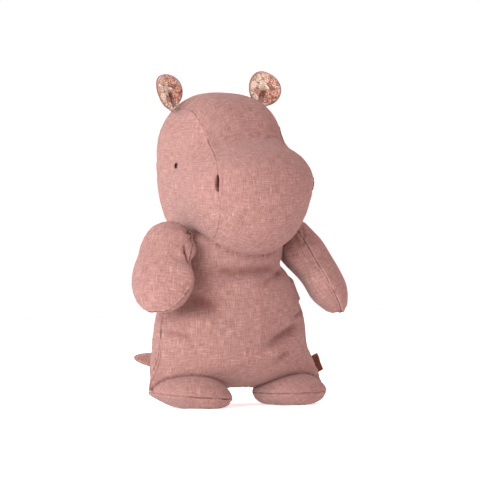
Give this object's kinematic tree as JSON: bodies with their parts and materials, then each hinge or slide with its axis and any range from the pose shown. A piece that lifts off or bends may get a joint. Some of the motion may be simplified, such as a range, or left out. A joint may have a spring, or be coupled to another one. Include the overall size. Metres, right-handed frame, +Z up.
{
  "type": "stuffed toy hippopotamus",
  "caption": "Small stuffed linen toy hippopotamus, standing on two padded feet, with a big square muzzle, round printed ears, mitten arms and a leaf tail.",
  "frame": {"origin": "middle of the overall footprint, on the floor under the feet", "axes": "+Z up, the toy faces -Y, and its own left side is at +X"},
  "size_m": [0.162, 0.1254, 0.2196],
  "materials": {
    "linen": "matte slubby linen weave, dusty pink",
    "ear_print": "fine cotton with a mottled cream and salmon print",
    "thread": "satin embroidery thread, dark brown",
    "leather": "smooth brown leather with paler cut edges, bare"
  },
  "bodies": {
    "root": {"trunk": "linen", "head": "linen", "tail": "linen", "side_tag": "leather", "arm_right": "linen", "arm_left": "linen", "leg_right": "linen", "leg_left": "linen", "ear_right": "linen", "ear_left": "linen", "ear_lining_right": "ear_print", "ear_lining_left": "ear_print", "eye_right": "thread", "eye_left": "thread"}
  },
  "joints": []
}
